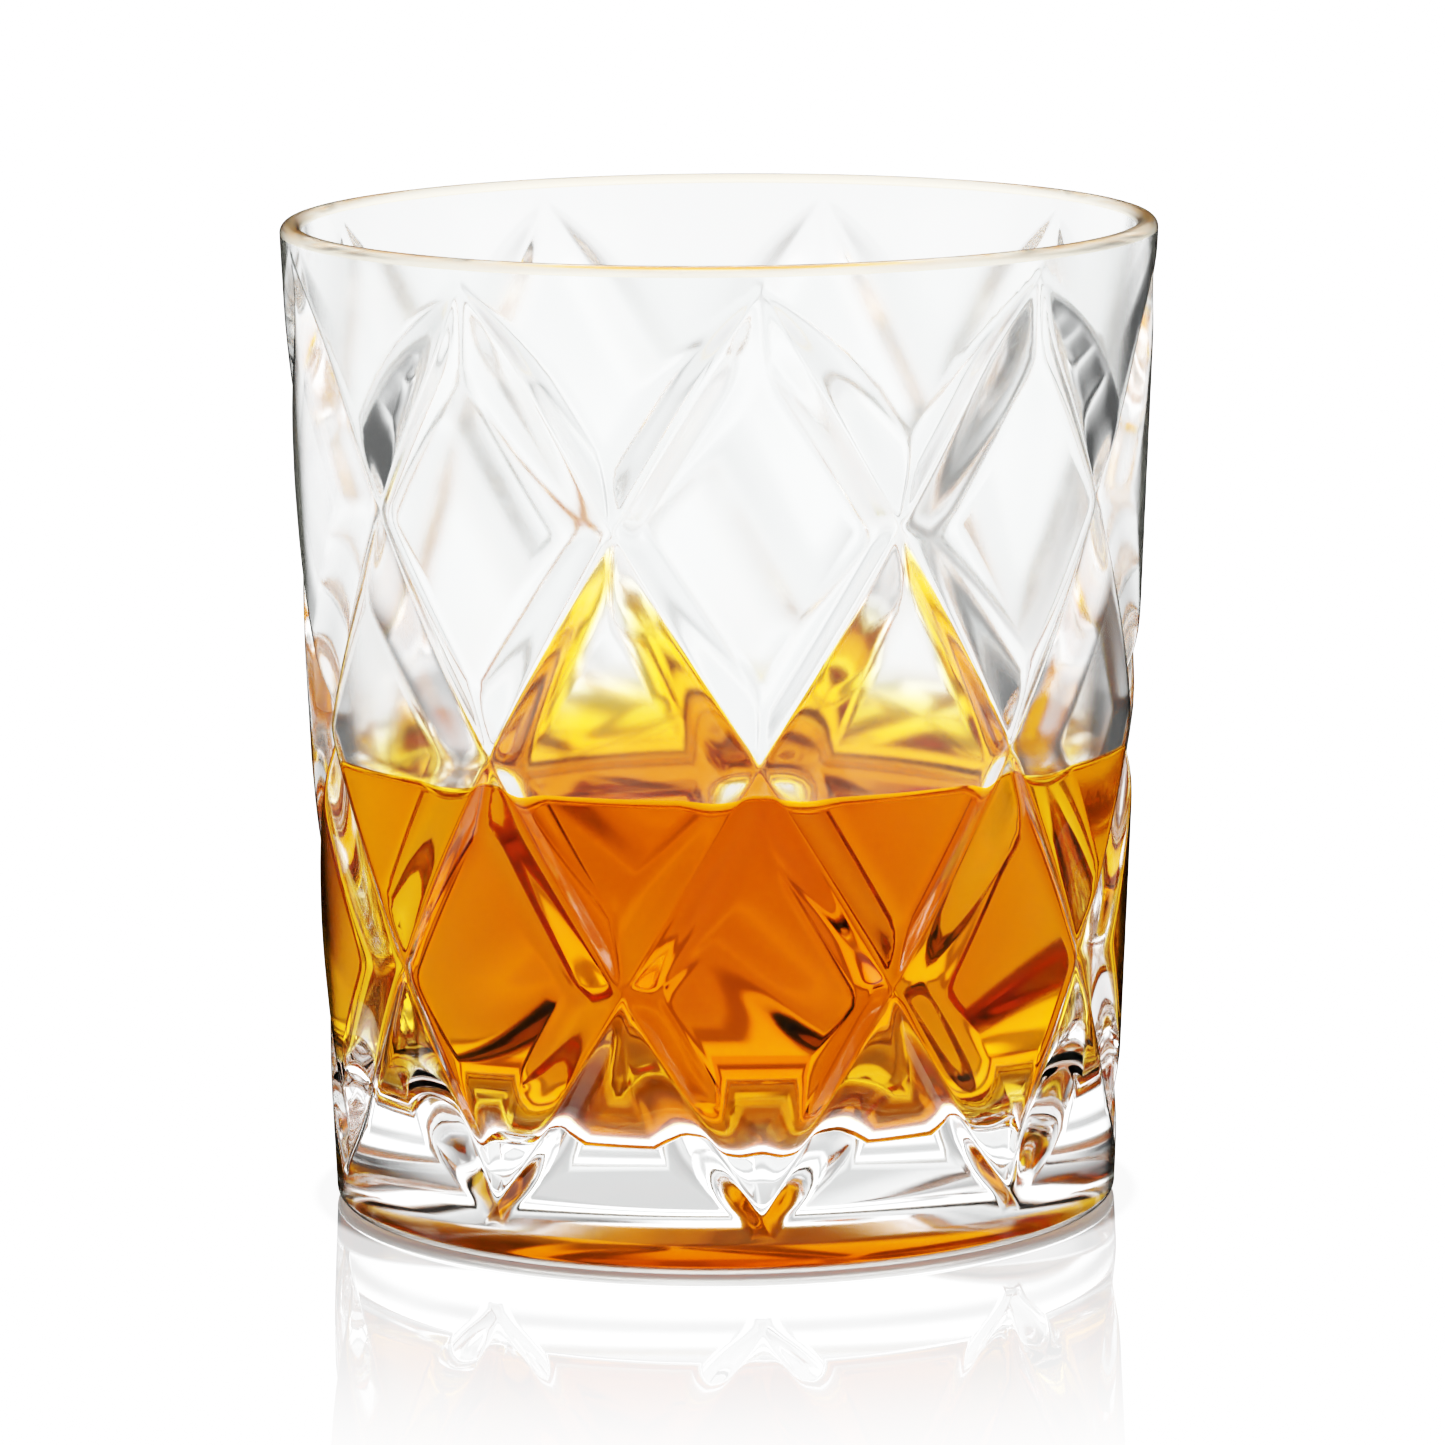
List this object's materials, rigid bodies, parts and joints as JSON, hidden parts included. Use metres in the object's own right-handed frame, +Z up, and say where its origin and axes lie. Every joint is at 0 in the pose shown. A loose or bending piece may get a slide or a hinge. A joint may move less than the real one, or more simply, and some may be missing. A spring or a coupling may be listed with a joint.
{
  "type": "whiskey tumbler",
  "caption": "Short thick-based pressed-glass tumbler, slightly tapered, with V-grooves crossing in a diamond pattern outside, part filled with amber whiskey.",
  "frame": {"origin": "centre of the underside, on the plane of the foot ring that the glass stands on", "axes": "+Z up along the glass's axis; a column of diamonds faces -Y"},
  "size_m": [0.085, 0.085, 0.096],
  "materials": {
    "glass": "clear colourless pressed glass, fire-polished",
    "whiskey": "clear amber liquid"
  },
  "bodies": {
    "root": {"tumbler_glass": "glass", "whiskey": "whiskey"}
  },
  "joints": []
}
